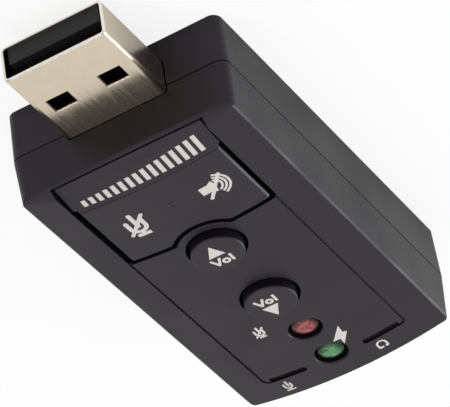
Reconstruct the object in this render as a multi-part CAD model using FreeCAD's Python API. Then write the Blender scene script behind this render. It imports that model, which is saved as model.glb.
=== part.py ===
import FreeCAD, Part
import math
import os

# USB sound card in the form of a stick: a two-part moulded housing with a USB-A plug at one
# end and two 3.5 mm sockets at the other, a tilting mute key, two volume keys and two lamps.
# Millimetres. +X is the way the plug is pushed in, +Z is the way the key face looks, and the
# origin is on the flat back under the middle of the whole length.

Vector = FreeCAD.Vector
X_AXIS = Vector(1, 0, 0)
Y_AXIS = Vector(0, 1, 0)
Z_AXIS = Vector(0, 0, 1)

# Housing
BODY_WIDTH = 25.8          # across the parting line, where the walls are widest
BODY_HEIGHT = 13.05        # flat back to the middle of the key face, which is arched across
CROWN_DROP = 1.2           # fall of the key face from its middle to its long edges
CROWN_SWEEP = 40.0         # degrees; reaches well past both side walls
SEAM_HEIGHT = 6.3          # parting line above the back
TOP_DRAFT = 0.35           # how far the walls lean in, up to the key face
BACK_DRAFT = 0.08          # the same, down to the back
CORNER_RADIUS = 1.1        # upright corners
TOP_EDGE_BEVEL = 0.12
BACK_EDGE_BEVEL = 0.16
NOSE_LENGTH = 4.1          # stretch over which the key face curves down to the front wall
NOSE_DROP = 2.05
WALL = 1.3
FLOOR = 1.2
ROOF = 1.95                # at the middle of the key face
SEAM_GAP = 0.12            # open line between the two halves
LIP_HEIGHT = 1.0           # tongue of the lower half inside the upper half
LIP_THICKNESS = 0.6
LIP_CLEARANCE = 0.1
PEG_SIZE = 2.4             # square pegs of the upper half that press the board down
PEG_TIP_SIZE = 1.2
PEG_CLEARANCE = 0.12
PEG_TIP_DEPTH = 0.3        # how far a peg's tip goes into the floor
POST_SIZE = 3.2
PEG_SIDE_GAP = 0.4         # between a peg and the side wall
INNER_CORNER_RADIUS = 0.3
PICK_SLACK = 0.1           # allowed miss when an edge is picked by its place

# Places along the body, each counted from the one before it, starting at the front wall
PLATE_START = 0.75         # front edge of the mute key
BAND_LENGTH = 4.3          # sloping band, up to the crease
FLAT_LENGTH = 10.45        # crease to the key's rear edge
PLATE_TO_VOLUME = 3.04     # rear edge to the first volume key's middle
VOLUME_PITCH = 11.15
VOLUME_TO_LAMP = 7.77
LAMP_PITCH = 5.85
LAMP_TO_END = 4.99

# Mute key
BAND_DROP = 0.6            # fall of the sloping band
BAND_WIDTH = 17.6
FLAT_INSET = 0.4           # how much narrower the flat part is, on each side
PLATE_THICKNESS = 1.65     # at the middle
PLATE_EDGE_BEVEL = 0.2
PLATE_CORNER_RADIUS = 0.3
CREASE_STEP = 0.1          # how much the flat stands above the band at the crease
CREASE_LEAD = 0.03         # the step's bevel starts this far behind the crease
STEP_BEFORE_CREASE = 0.4   # the band narrows to the flat's width this far before the crease
REAR_GAP = 0.4
FRONT_GAP = 0.15
SIDE_GAP = 0.25            # beside the sloping band; beside the flat it is a wide slot
NOTCH_RADIUS = 4.63        # rear edge's bay round the first volume key
PIVOT_DEPTH = 3.75         # pivot below the key face
PIN_RADIUS = 0.8
PIN_CLEARANCE = 0.06
PIN_LENGTH = 1.4
KEEL_WIDTH = 2.4           # rib under the key that carries its two pins
KEEL_START = 3.6           # behind the key's front edge
KEEL_LENGTH = 8.0
KEEL_DEPTH = 1.1           # below the pivot
BRIDGE_GAP = 0.3           # between the rib and each bearing bridge
BRIDGE_THICKNESS = 1.3
BRIDGE_HEIGHT = 1.8
BOSS_SIZE = 2.1
BOSS_SPREAD = 9.6          # between the two bosses that reach down to the switches
BOSS_OFFSET = 5.6          # behind the crease
BOSS_REST_GAP = 0.3        # between a boss and its switch, key level

# Volume keys
KEY_RADIUS = 2.9
KEY_CLEARANCE = 0.42
KEY_HEIGHT = 0.9           # above the key face
KEY_EDGE_BEVEL = 0.12
KEY_TAB_REACH = 0.9        # beyond the cap, under the key face
KEY_TAB_WIDTH = 2.6
KEY_TAB_THICKNESS = 0.8
KEY_TAB_GAP = 0.1
KEY_STEM_RADIUS = 1.5

# Lamps
LAMP_RADIUS = 1.5
LAMP_HEIGHT = 5.3
LAMP_DOME_RISE = 0.35
LAMP_FLANGE_RADIUS = 1.75
LAMP_FLANGE_HEIGHT = 1.0
LAMP_RECESS = 0.1          # top of the dome below the key face
LAMP_HOLE_RADIUS = 1.9
LAMP_HOLE_CHAMFER = 0.15
LEAD_SIZE = 0.5
LEAD_PITCH = 1.8
LEAD_STUB = 0.3            # below the board
LEAD_HOLE_SIZE = 0.8

# Panel line on the key face, with a curled end at each rear corner
LINE_WIDTH = 0.32
LINE_DEPTH = 0.25
CURL_WIDTH = 0.9
CURL_DEPTH = 0.45
CURL_LENGTH = 4.6
CURL_FROM_END = 3.85

# USB-A plug
PLUG_WIDTH = 12.0
PLUG_HEIGHT = 4.5
PLUG_REACH = 11.7          # out of the front wall
PLUG_BACK = 5.5            # behind the front wall's outer face
PLUG_CORNER_RADIUS = 0.62
PLUG_SHEET = 0.3
PLUG_RIM_BEVEL = 0.1       # round the mouth and the latch windows
PLUG_BOTTOM = 2.63         # above the back
PLUG_SLOT_CLEARANCE = 0.1
WINDOW_WIDTH = 2.5
WINDOW_LENGTH = 2.0
WINDOW_FROM_TIP = 5.16
WINDOW_SPREAD = 6.15
TONGUE_WIDTH = 10.7
TONGUE_THICKNESS = 1.95
TONGUE_FROM_TIP = 0.4
PLUG_BLOCK_LENGTH = 4.5    # insulator block that closes the shell's rear end
CONTACT_WIDTH = 1.0
CONTACT_SHEET = 0.2
CONTACT_PROUD = 0.02
OUTER_CONTACT_Y = 3.5
INNER_CONTACT_Y = 1.0
OUTER_CONTACT_FROM_TIP = 1.1
INNER_CONTACT_FROM_TIP = 2.1
TAIL_LENGTH = 0.6
TAIL_FOOT = 0.6

# Sockets for 3.5 mm plugs
JACK_SPREAD = 12.4
JACK_BORE_RADIUS = 1.8
JACK_NOSE_RADIUS = 2.9
JACK_NOSE_CLEARANCE = 0.1
JACK_NOSE_RECESS = 0.15
JACK_WIDTH = 6.4
JACK_HEIGHT = 6.0
JACK_LENGTH = 11.3
JACK_WALL_GAP = 0.1
JACK_FOOT_WIDTH = 1.2
JACK_FOOT_LENGTH = 0.9
JACK_FOOT_RISE = 1.0
FOOT_SHEET = 0.2

# Board and what it carries
BOARD_THICKNESS = 1.0
BOARD_EDGE_GAP = 0.25
BOARD_CORNER_RADIUS = 0.6
SWITCH_SIZE = 6.0
SWITCH_HEIGHT = 3.2
SWITCH_COVER = 0.3
SWITCH_POCKET_SIZE = 4.3
SWITCH_POCKET_DEPTH = 1.6
PLUNGER_RADIUS = 1.75
PLUNGER_CLEARANCE = 0.1
PLUNGER_FLANGE_SIZE = 4.0
PLUNGER_FLANGE = 0.5
PLUNGER_HEIGHT = 5.0       # top of a plunger above the board
SWITCH_FOOT_LENGTH = 0.8
SWITCH_FOOT_WIDTH = 0.7
SWITCH_FOOT_PITCH = 4.0
CHIP_LENGTH = 6.5
CHIP_WIDTH = 4.4
CHIP_HEIGHT = 1.1
CHIP_STANDOFF = 0.1
CHIP_LEADS = 10            # on each long side
CHIP_LEAD_PITCH = 0.65
CHIP_LEAD_WIDTH = 0.25
CHIP_LEAD_REACH = 1.0
CHIP_EDGE_GAP = 0.25       # between the leads and the board's edge
CRYSTAL_LENGTH = 10.2
CRYSTAL_WIDTH = 3.7
CRYSTAL_HEIGHT = 3.4
CRYSTAL_CORNER_RADIUS = 1.7
CAPACITOR_LENGTH = 3.2
CAPACITOR_WIDTH = 1.6
CAPACITOR_HEIGHT = 1.6
CHIP_PART_LENGTH = 1.6
CHIP_PART_WIDTH = 0.8
CHIP_PART_HEIGHT = 0.5
CHIP_PART_PITCH = 1.2
CHIP_PART_COUNT = 3        # in each row
PART_GAP = 0.4             # free board between neighbours

# Places worked out from the sizes above
CREASE = PLATE_START + BAND_LENGTH
PLATE_END = CREASE + FLAT_LENGTH
VOLUME_UP = PLATE_END + PLATE_TO_VOLUME
VOLUME_DOWN = VOLUME_UP + VOLUME_PITCH
RED_LAMP = VOLUME_DOWN + VOLUME_TO_LAMP
GREEN_LAMP = RED_LAMP + LAMP_PITCH
BODY_LENGTH = GREEN_LAMP + LAMP_TO_END

X_TIP = (BODY_LENGTH + PLUG_REACH) / 2
X_FRONT = X_TIP - PLUG_REACH
X_END = X_FRONT - BODY_LENGTH
HALF_WIDTH = BODY_WIDTH / 2
CROWN_RADIUS = (HALF_WIDTH - TOP_DRAFT) ** 2 / (2 * CROWN_DROP) + CROWN_DROP / 2
CROWN_AXIS = BODY_HEIGHT - CROWN_RADIUS
BLANK_TOP = BODY_HEIGHT + ROOF / 2
INNER_INSET = TOP_DRAFT + WALL
INNER_HALF = HALF_WIDTH - INNER_INSET
ROOF_UNDER = BODY_HEIGHT - ROOF
PANEL_HALF = BAND_WIDTH / 2 + SIDE_GAP
BOARD_TOP = PLUG_BOTTOM
BOARD_UNDER = BOARD_TOP - BOARD_THICKNESS
BOARD_HALF = INNER_HALF - BOARD_EDGE_GAP
JACK_MIDDLE = BOARD_TOP + JACK_HEIGHT / 2
JACK_FACE = X_END + INNER_INSET + JACK_WALL_GAP
JACK_REAR = JACK_FACE + JACK_LENGTH
PIVOT_HEIGHT = BODY_HEIGHT - PIVOT_DEPTH
PLATE_UNDER = BODY_HEIGHT - PLATE_THICKNESS
FLAT_WIDTH = BAND_WIDTH - 2 * FLAT_INSET
PLUNGER_TOP = BOARD_TOP + PLUNGER_HEIGHT
KEEL_FRONT = PLATE_START + KEEL_START
KEEL_REAR = KEEL_FRONT + KEEL_LENGTH
BOSS_PLACE = CREASE + BOSS_OFFSET
PEG_Y = INNER_HALF - PEG_SIDE_GAP - PEG_SIZE / 2
PEG_PLACE = VOLUME_DOWN + SWITCH_SIZE / 2
PEG_HOLE_SIZE = PEG_TIP_SIZE + 2 * PEG_CLEARANCE


def behind_front(distance):
    """X of a place counted backwards from the front wall."""
    return X_FRONT - distance


def block(x0, x1, y0, y1, z0, z1):
    """Box between three pairs of limits."""
    return Part.makeBox(x1 - x0, y1 - y0, z1 - z0, Vector(x0, y0, z0))


def pillar(length, width, x, y, z0, z1):
    """Box of a given length and width about an upright line."""
    return block(x - length / 2, x + length / 2, y - width / 2, y + width / 2, z0, z1)


def upright(radius, x, y, z0, z1):
    """Upright cylinder."""
    return Part.makeCylinder(radius, z1 - z0, Vector(x, y, z0), Z_AXIS)


def lying(radius, x0, x1, y, z):
    """Cylinder along X."""
    return Part.makeCylinder(radius, x1 - x0, Vector(x0, y, z), X_AXIS)


def side_profile(points, y0, y1):
    """Prism across Y whose section is a list of (x, z) corners."""
    corners = [Vector(x, y0, z) for x, z in points]
    face = Part.Face(Part.makePolygon(corners + corners[:1]))
    return face.extrude(Y_AXIS * (y1 - y0))


def end_profile(points, x0, x1):
    """Prism along X whose section is a list of (y, z) corners."""
    corners = [Vector(x0, y, z) for y, z in points]
    face = Part.Face(Part.makePolygon(corners + corners[:1]))
    return face.extrude(X_AXIS * (x1 - x0))


def round_edges(shape, radius, chosen):
    """Round the edges for which chosen(edge) is true."""
    edges = [edge for edge in shape.Edges if chosen(edge)]
    return shape.makeFillet(radius, edges)


def bevel_edges(shape, size, chosen):
    """Bevel the edges for which chosen(edge) is true."""
    edges = [edge for edge in shape.Edges if chosen(edge)]
    return shape.makeChamfer(size, edges)


def fuse(shapes):
    """One solid from touching solids, with no lines left where faces continue."""
    joined = shapes[0].fuse(list(shapes[1:]))
    return joined.removeSplitter()


def middle(edge):
    """Point half way along an edge."""
    return edge.valueAt((edge.FirstParameter + edge.LastParameter) / 2)


def spans(edge, axis):
    """How far an edge reaches along an axis."""
    box = edge.BoundBox
    return {"x": box.XLength, "y": box.YLength, "z": box.ZLength}[axis]


def crowned_space(middle_line):
    """Space above a face that is arched across and has the given (x, z) middle line."""
    high = BODY_HEIGHT + 2 * ROOF
    points = middle_line + [(middle_line[-1][0], high), (middle_line[0][0], high)]
    corners = [Vector(x, 0, z) for x, z in points]
    face = Part.Face(Part.makePolygon(corners + corners[:1]))
    axis = Vector(0, 0, CROWN_AXIS)
    face.rotate(axis, X_AXIS, -CROWN_SWEEP / 2)
    return face.revolve(axis, X_AXIS, CROWN_SWEEP)


def key_face_space(depth):
    """Space above the key face, or above a level this deep under it."""
    level = BODY_HEIGHT - depth
    return crowned_space([(X_END - WALL, level), (X_FRONT + WALL, level)])


def bevelled_face_space():
    """Space above the key face and above the bevel where it meets the socket end."""
    beyond = X_END - WALL
    bevel_start = X_END + TOP_DRAFT + TOP_EDGE_BEVEL
    bevel_end = BODY_HEIGHT - (bevel_start - beyond)
    return crowned_space([(beyond, bevel_end), (bevel_start, BODY_HEIGHT), (X_FRONT + WALL, BODY_HEIGHT)])


def side_bevels():
    """Two prisms that bevel the long edges of the key face."""
    edge = HALF_WIDTH - TOP_DRAFT - TOP_EDGE_BEVEL
    level = BODY_HEIGHT - CROWN_DROP
    prisms = []
    for side in (1, -1):
        section = [
            (side * (edge - WALL), level + WALL),
            (side * (edge + 2 * WALL), level + WALL),
            (side * (edge + 2 * WALL), level - 2 * WALL),
        ]
        prisms.append(end_profile(section, X_END - WALL, X_FRONT + WALL))
    return prisms


def height_over_middle(point):
    """Height that a point has once it is turned along the arch to the middle."""
    return CROWN_AXIS + math.hypot(point.y, point.z - CROWN_AXIS)


def plan_solid(inset_low, z_low, inset_high, z_high, radius):
    """Body between two heights, leaning from one inset to the other, with round corners."""
    front_low = X_FRONT - inset_low
    front_high = X_FRONT - inset_high
    end_low = X_END + inset_low
    end_high = X_END + inset_high
    side_low = HALF_WIDTH - inset_low
    side_high = HALF_WIDTH - inset_high
    length_section = [
        (end_low, z_low),
        (front_low, z_low),
        (front_high, z_high),
        (end_high, z_high),
    ]
    width_section = [
        (-side_low, z_low),
        (side_low, z_low),
        (side_high, z_high),
        (-side_high, z_high),
    ]
    solid = side_profile(length_section, -HALF_WIDTH, HALF_WIDTH)
    solid = solid.common(end_profile(width_section, X_END, X_FRONT))
    rise = z_high - z_low
    return round_edges(solid, radius, lambda edge: spans(edge, "z") > rise / 2)


def inner_space(z_low, z_high):
    """Room inside the walls."""
    return plan_solid(INNER_INSET, z_low, INNER_INSET, z_high, INNER_CORNER_RADIUS)


def lip_ring(z_low, z_high, clearance):
    """Ring inside the wall that the lower half's lip fills, or its groove with a clearance.

    It leaves the plug and the sockets free.
    """
    outer_inset = INNER_INSET - LIP_THICKNESS - clearance
    outer = plan_solid(outer_inset, z_low, outer_inset, z_high, CORNER_RADIUS - outer_inset / 2)
    ring = outer.cut(inner_space(z_low, z_high))
    plug_half = PLUG_WIDTH / 2 + PLUG_SLOT_CLEARANCE + LIP_THICKNESS - clearance
    jack_half = JACK_SPREAD / 2 + JACK_NOSE_RADIUS + JACK_NOSE_CLEARANCE + LIP_THICKNESS - clearance
    plug_doorway = block(X_FRONT - INNER_INSET * 2, X_FRONT, -plug_half, plug_half, z_low, z_high)
    jack_doorway = block(X_END, JACK_FACE, -jack_half, jack_half, z_low, z_high)
    return ring.cut([plug_doorway, jack_doorway])


def plug_bar(x0, x1, grow):
    """Bar of the plug's rounded section, larger on every side by grow."""
    half = PLUG_WIDTH / 2 + grow
    bar = block(x0, x1, -half, half, PLUG_BOTTOM - grow, PLUG_BOTTOM + PLUG_HEIGHT + grow)
    return round_edges(bar, PLUG_CORNER_RADIUS + grow, lambda edge: spans(edge, "x") > (x1 - x0) / 2)


def plug_slot():
    """Slot through the front wall for the plug."""
    return plug_bar(X_FRONT - INNER_INSET * 2, X_FRONT + WALL, PLUG_SLOT_CLEARANCE)


def jack_holes():
    """Round holes through the socket end for the two socket noses."""
    radius = JACK_NOSE_RADIUS + JACK_NOSE_CLEARANCE
    x0 = X_END - WALL
    x1 = JACK_FACE + JACK_WALL_GAP
    return [lying(radius, x0, x1, y, JACK_MIDDLE) for y in (JACK_SPREAD / 2, -JACK_SPREAD / 2)]


def peg_spots():
    """Middles of the two pegs and posts that hold the board."""
    return [(behind_front(PEG_PLACE), side * PEG_Y) for side in (1, -1)]


def lower_housing():
    """Back half: tray with a lip round its rim and posts under the board."""
    rim = SEAM_HEIGHT - SEAM_GAP / 2
    tray = plan_solid(BACK_DRAFT, 0, 0, rim, CORNER_RADIUS)
    tray = bevel_edges(tray, BACK_EDGE_BEVEL, lambda edge: edge.BoundBox.ZMax < BACK_EDGE_BEVEL / 2)
    tray = tray.cut(inner_space(FLOOR, SEAM_HEIGHT + LIP_HEIGHT))
    lip = lip_ring(rim - LIP_THICKNESS, SEAM_HEIGHT + LIP_HEIGHT, 0)
    posts = []
    sockets = []
    for x, y in peg_spots():
        posts.append(pillar(POST_SIZE, POST_SIZE, x, y, FLOOR / 2, BOARD_UNDER))
        sockets.append(pillar(PEG_HOLE_SIZE, PEG_HOLE_SIZE, x, y, FLOOR - PEG_TIP_DEPTH, BOARD_TOP))
    tray = fuse([tray, lip] + posts)
    return tray.cut(sockets + [plug_slot()] + jack_holes())


def nose_cutter():
    """Space above the curve by which the key face runs down to the front wall."""
    radius = NOSE_LENGTH ** 2 / (2 * NOSE_DROP) + NOSE_DROP / 2
    start = X_FRONT - NOSE_LENGTH
    centre = BODY_HEIGHT - radius

    def on_curve(x):
        return Vector(x, -BODY_WIDTH, centre + math.sqrt(radius ** 2 - (x - start) ** 2))

    high = BODY_HEIGHT + NOSE_DROP
    beyond = X_FRONT + NOSE_DROP
    corners = [
        on_curve(X_FRONT),
        Vector(beyond, -BODY_WIDTH, BODY_HEIGHT - NOSE_DROP),
        Vector(beyond, -BODY_WIDTH, high),
        Vector(start, -BODY_WIDTH, high),
        on_curve(start),
    ]
    arc = Part.Arc(on_curve(start), on_curve(start + NOSE_LENGTH / 2), on_curve(X_FRONT)).toShape()
    lines = [Part.LineSegment(a, b).toShape() for a, b in zip(corners, corners[1:])]
    face = Part.Face(Part.Wire([arc] + lines))
    return face.extrude(Y_AXIS * BODY_WIDTH * 2)


def plate_plan(front, band_half, flat_half, rear_shift, notch_radius):
    """Upright prism of the mute key's outline, or of the opening it sits in."""
    low = PIVOT_HEIGHT
    rise = BODY_HEIGHT * 2
    step = behind_front(CREASE - STEP_BEFORE_CREASE)
    band = block(step, behind_front(front), -band_half, band_half, low, low + rise)
    rear = behind_front(PLATE_END + rear_shift)
    flat = block(rear, step, -flat_half, flat_half, low, low + rise)
    bay = upright(notch_radius, behind_front(VOLUME_UP), 0, low, low + rise)
    bay.rotate(Vector(behind_front(VOLUME_UP), 0, 0), Z_AXIS, 180)
    return fuse([band, flat]).cut(bay)


def rocker_opening():
    """Opening in the key face for the mute key, with wide slots beside the flat part."""
    front = PLATE_START - FRONT_GAP
    return plate_plan(front, PANEL_HALF, PANEL_HALF, REAR_GAP, NOTCH_RADIUS - REAR_GAP)


def panel_lines():
    """Fine line along each side of the key panel and the curled recess at its rear end."""
    cuts = []
    floor = ROOF_UNDER
    high = BODY_HEIGHT * 2
    above_lines = key_face_space(LINE_DEPTH)
    above_curls = key_face_space(CURL_DEPTH)
    half = CURL_WIDTH / 2
    curl_x = X_END + CURL_FROM_END
    line_end = curl_x + CURL_WIDTH
    line_start = behind_front(PLATE_END)
    for side in (1, -1):
        y0, y1 = sorted((side * (PANEL_HALF - LINE_WIDTH), side * PANEL_HALF))
        cuts.append(block(line_end, line_start, y0, y1, floor, high).common(above_lines))
        near = PANEL_HALF - CURL_WIDTH
        far = near - CURL_LENGTH + half
        bend = upright(CURL_WIDTH, line_end, side * near, floor, high)
        hub = upright(CURL_WIDTH - LINE_WIDTH, line_end, side * near, floor, high)
        y0, y1 = sorted((side * near, side * PANEL_HALF))
        quarter = block(curl_x, line_end, y0, y1, floor, high)
        cuts.append(bend.common(quarter).cut(hub).common(above_lines))
        y0, y1 = sorted((side * near, side * far))
        pocket = block(curl_x, line_end, y0, y1, floor, high)
        end = upright(half, curl_x + half, side * far, floor, high)
        cuts.append(fuse([pocket, end]).common(above_curls))
    return cuts


def bearing_bridges():
    """Two ribs across the upper half that carry the mute key's pins."""
    low = PIVOT_HEIGHT - BRIDGE_HEIGHT / 2
    high = PIVOT_HEIGHT + BRIDGE_HEIGHT / 2
    reach = INNER_HALF + WALL / 2
    front_face = behind_front(KEEL_FRONT - BRIDGE_GAP)
    rear_face = behind_front(KEEL_REAR + BRIDGE_GAP)
    front = block(front_face, front_face + BRIDGE_THICKNESS, -reach, reach, low, high)
    rear = block(rear_face - BRIDGE_THICKNESS, rear_face, -reach, reach, low, high)
    hole = lying(PIN_RADIUS + PIN_CLEARANCE, rear_face - WALL, front_face + WALL, 0, PIVOT_HEIGHT)
    return [front.cut(hole), rear.cut(hole)]


def upper_housing():
    """Key half: shell with the key openings, lamp holes, bearing bridges and board pegs."""
    rim = SEAM_HEIGHT + SEAM_GAP / 2
    blank_inset = TOP_DRAFT * (BLANK_TOP - rim) / (BODY_HEIGHT - rim)
    shell = plan_solid(0, rim, blank_inset, BLANK_TOP, CORNER_RADIUS)
    shell = shell.cut(rocker_opening())
    shell = shell.cut(bevelled_face_space()).cut(nose_cutter()).cut(side_bevels())
    shell = shell.cut(inner_space(SEAM_HEIGHT - LIP_HEIGHT, ROOF_UNDER))
    shell = shell.cut(lip_ring(SEAM_HEIGHT - LIP_HEIGHT, SEAM_HEIGHT + LIP_HEIGHT, LIP_CLEARANCE))
    shell = shell.cut([plug_slot()] + jack_holes() + panel_lines())
    for place in (VOLUME_UP, VOLUME_DOWN):
        x = behind_front(place)
        shell = shell.cut(upright(KEY_RADIUS + KEY_CLEARANCE, x, 0, PIVOT_HEIGHT, BODY_HEIGHT * 2))
    for place in (RED_LAMP, GREEN_LAMP):
        x = behind_front(place)
        low = Vector(x, 0, BODY_HEIGHT - LAMP_HOLE_CHAMFER)
        rise = 2 * LAMP_HOLE_CHAMFER
        mouth = Part.makeCone(LAMP_HOLE_RADIUS, LAMP_HOLE_RADIUS + rise, rise, low)
        shell = shell.cut([upright(LAMP_HOLE_RADIUS, x, 0, PIVOT_HEIGHT, BLANK_TOP), mouth])
    pegs = []
    for x, y in peg_spots():
        pegs.append(pillar(PEG_SIZE, PEG_SIZE, x, y, BOARD_TOP, ROOF_UNDER + ROOF / 2))
        pegs.append(pillar(PEG_TIP_SIZE, PEG_TIP_SIZE, x, y, FLOOR - PEG_TIP_DEPTH, BOARD_TOP + PEG_SIZE))
    return fuse([shell] + bearing_bridges() + pegs)


def mute_rocker():
    """Key that tips left or right about two pins and presses one of two switches."""
    plan = plate_plan(PLATE_START, BAND_WIDTH / 2, FLAT_WIDTH / 2, 0, NOTCH_RADIUS)
    step = behind_front(CREASE - STEP_BEFORE_CREASE)

    def outward(edge):
        point = middle(edge)
        at_step = abs(point.x - step) < PICK_SLACK
        inner_corner = at_step and abs(point.y) < BAND_WIDTH / 2 - PICK_SLACK
        return spans(edge, "z") > BODY_HEIGHT and not inner_corner

    plan = round_edges(plan, PLATE_CORNER_RADIUS, outward)
    front = behind_front(PLATE_START)
    crease = behind_front(CREASE)
    rear = behind_front(PLATE_END + PLATE_TO_VOLUME)
    section = [
        (front, BLANK_TOP),
        (rear, BLANK_TOP),
        (rear, PLATE_UNDER),
        (crease, PLATE_UNDER),
        (front, PLATE_UNDER - BAND_DROP),
    ]
    plate = plan.common(side_profile(section, -HALF_WIDTH, HALF_WIDTH))
    slope = BAND_DROP / BAND_LENGTH
    beyond = front + WALL
    middle_line = [
        (rear - WALL, BODY_HEIGHT),
        (crease, BODY_HEIGHT),
        (beyond, BODY_HEIGHT - (beyond - crease) * slope),
    ]
    plate = plate.cut(crowned_space(middle_line))

    def on_top(edge):
        point = middle(edge)
        crossing = spans(edge, "y") > FLAT_WIDTH / 2
        fall = max(0, point.x - crease) * slope
        on_surface = abs(height_over_middle(point) - BODY_HEIGHT + fall) < PICK_SLACK / 2
        flat_enough = spans(edge, "z") < BAND_DROP + PICK_SLACK
        return on_surface and flat_enough and not crossing

    plate = bevel_edges(plate, PLATE_EDGE_BEVEL, on_top)
    bevel_start = crease - CREASE_LEAD
    foot = crease + (CREASE_STEP - CREASE_LEAD) / (1 - slope)
    stepped_line = [
        (bevel_start - CREASE_STEP, BODY_HEIGHT + CREASE_STEP),
        (foot, BODY_HEIGHT - (foot - bevel_start)),
        (beyond, BODY_HEIGHT - CREASE_STEP - (beyond - crease) * slope),
    ]
    plate = plate.cut(crowned_space(stepped_line)).cut(nose_cutter())
    half = KEEL_WIDTH / 2
    keel_low = PIVOT_HEIGHT - KEEL_DEPTH
    keel_front = behind_front(KEEL_FRONT)
    keel_rear = behind_front(KEEL_REAR)
    inside_plate = PLATE_UNDER + PLATE_THICKNESS / 2
    keel_section = [
        (keel_rear, keel_low),
        (keel_front, keel_low),
        (keel_front, PLATE_UNDER - BAND_DROP / 2),
        (crease, inside_plate),
        (keel_rear, inside_plate),
    ]
    keel = side_profile(keel_section, -half, half)
    front_pin = lying(PIN_RADIUS, keel_front - half, keel_front + PIN_LENGTH, 0, PIVOT_HEIGHT)
    rear_pin = lying(PIN_RADIUS, keel_rear - PIN_LENGTH, keel_rear + half, 0, PIVOT_HEIGHT)
    low = PLUNGER_TOP + BOSS_REST_GAP
    x = behind_front(BOSS_PLACE)
    bosses = [
        pillar(BOSS_SIZE, BOSS_SIZE, x, side * BOSS_SPREAD / 2, low, inside_plate) for side in (1, -1)
    ]
    return fuse([plate, keel, front_pin, rear_pin] + bosses)


def volume_button(place):
    """Round key with two tabs that keep it in, and a stem down to its switch."""
    x = behind_front(place)
    top = BODY_HEIGHT + KEY_HEIGHT
    tab_top = ROOF_UNDER - KEY_TAB_GAP
    tab_low = tab_top - KEY_TAB_THICKNESS
    cap = upright(KEY_RADIUS, x, 0, tab_low, top)
    cap = bevel_edges(cap, KEY_EDGE_BEVEL, lambda edge: edge.BoundBox.ZMin > BODY_HEIGHT)
    tabs = pillar(KEY_TAB_WIDTH, (KEY_RADIUS + KEY_TAB_REACH) * 2, x, 0, tab_low, tab_top)
    stem = upright(KEY_STEM_RADIUS, x, 0, PLUNGER_TOP, tab_top)
    return fuse([cap, tabs, stem])


def lamp_lens(place):
    """Moulded lamp: cylinder with a domed top and a flange at its foot."""
    x = behind_front(place)
    top = BODY_HEIGHT - LAMP_RECESS
    base = top - LAMP_HEIGHT
    body = upright(LAMP_RADIUS, x, 0, base, top - LAMP_DOME_RISE)
    dome_radius = LAMP_RADIUS ** 2 / (2 * LAMP_DOME_RISE) + LAMP_DOME_RISE / 2
    lowest = math.degrees(math.acos(LAMP_RADIUS / dome_radius))
    dome = Part.makeSphere(dome_radius, Vector(x, 0, top - dome_radius), Z_AXIS, lowest, 90, 360)
    flange = upright(LAMP_FLANGE_RADIUS, x, 0, base, base + LAMP_FLANGE_HEIGHT)
    return fuse([body, dome, flange])


def lead_spots(place):
    """Middles of a lamp's two leads."""
    x = behind_front(place)
    return [(x - LEAD_PITCH / 2, 0), (x + LEAD_PITCH / 2, 0)]


def lamp_leads(place):
    """Two square leads from a lamp down through the board."""
    base = BODY_HEIGHT - LAMP_RECESS - LAMP_HEIGHT
    low = BOARD_UNDER - LEAD_STUB
    leads = [pillar(LEAD_SIZE, LEAD_SIZE, x, y, low, base) for x, y in lead_spots(place)]
    return Part.makeCompound(leads)


def usb_plug_shell():
    """Folded sheet shell of the plug with two latch windows in each broad face."""
    rear = X_FRONT - PLUG_BACK
    hollow = plug_bar(rear - PLUG_BACK, X_TIP + PLUG_BACK, -PLUG_SHEET)
    bar = plug_bar(rear, X_TIP, 0)
    bar = bevel_edges(bar, PLUG_RIM_BEVEL, lambda edge: edge.BoundBox.XMin > X_TIP - PICK_SLACK)
    shell = bar.cut(hollow)
    x1 = X_TIP - WINDOW_FROM_TIP
    half = WINDOW_WIDTH / 2
    windows = []
    for side in (1, -1):
        y = side * WINDOW_SPREAD / 2
        windows.append(block(x1 - WINDOW_LENGTH, x1, y - half, y + half, 0, BODY_HEIGHT))
    shell = shell.cut(windows)
    faces = (PLUG_BOTTOM, PLUG_BOTTOM + PLUG_HEIGHT)

    def on_window(edge):
        box = edge.BoundBox
        level = any(abs(box.ZMin - face) + abs(box.ZMax - face) < PICK_SLACK for face in faces)
        near_window = abs(middle(edge).x - x1 + WINDOW_LENGTH / 2) < WINDOW_LENGTH
        return level and near_window and max(spans(edge, "x"), spans(edge, "y")) < 2 * WINDOW_LENGTH

    return bevel_edges(shell, PLUG_RIM_BEVEL, on_window)


def contact_strip(y, from_tip):
    """Spring strip on the plug's tongue, bent down to a foot on the board."""
    top = PLUG_BOTTOM + PLUG_SHEET + TONGUE_THICKNESS + CONTACT_PROUD
    under = top - CONTACT_SHEET
    rear = X_FRONT - PLUG_BACK - TAIL_LENGTH
    foot = rear - TAIL_FOOT
    section = [
        (X_TIP - from_tip, top),
        (X_TIP - from_tip, under),
        (rear + CONTACT_SHEET, under),
        (rear + CONTACT_SHEET, BOARD_TOP),
        (foot, BOARD_TOP),
        (foot, BOARD_TOP + CONTACT_SHEET),
        (rear, BOARD_TOP + CONTACT_SHEET),
        (rear, top),
    ]
    return side_profile(section, y - CONTACT_WIDTH / 2, y + CONTACT_WIDTH / 2)


CONTACTS = {
    "power_contact": (OUTER_CONTACT_Y, OUTER_CONTACT_FROM_TIP),
    "data_minus_contact": (INNER_CONTACT_Y, INNER_CONTACT_FROM_TIP),
    "data_plus_contact": (-INNER_CONTACT_Y, INNER_CONTACT_FROM_TIP),
    "ground_contact": (-OUTER_CONTACT_Y, OUTER_CONTACT_FROM_TIP),
}


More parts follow.
